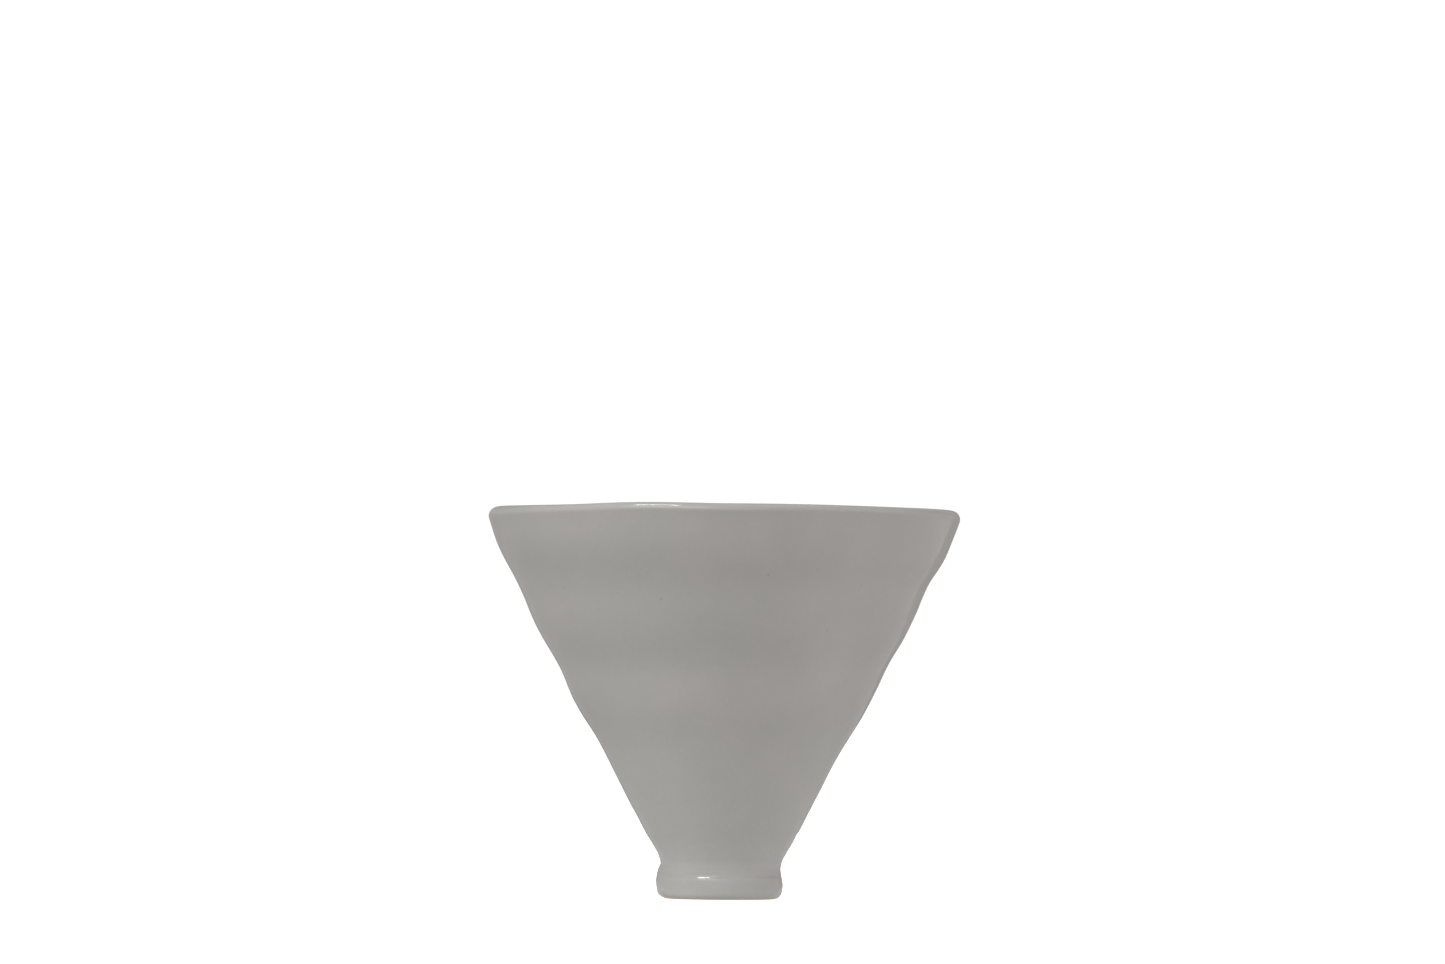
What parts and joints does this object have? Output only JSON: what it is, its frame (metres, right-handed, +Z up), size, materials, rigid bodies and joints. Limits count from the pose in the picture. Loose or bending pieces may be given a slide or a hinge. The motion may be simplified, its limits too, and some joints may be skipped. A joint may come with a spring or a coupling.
{
  "type": "pour over dripper",
  "caption": "One-piece glazed ceramic cone with a rounded lip, softly swelling wall, foot ring and drain outlet, holding a lift-out paper cone filter.",
  "frame": {"origin": "middle of the foot ring's resting face, at its lowest plane", "axes": "+Z up along the cone's axis, from the foot to the rim; the cone is round, so +X and +Y are any two level directions, and the paper's glued seam faces -Y"},
  "size_m": [0.118, 0.118, 0.098],
  "materials": {
    "glaze": "glossy warm grey glaze",
    "filter_paper": "matt, lightly creped"
  },
  "bodies": {
    "cone": {"dripper_cone": "glaze"},
    "filter": {"paper_filter": "filter_paper"}
  },
  "joints": [
    {"name": "filter_lift", "type": "slide", "parent": "cone", "child": "filter", "axis": [0, 0, 1], "range_m": [0, 0.12]}
  ]
}
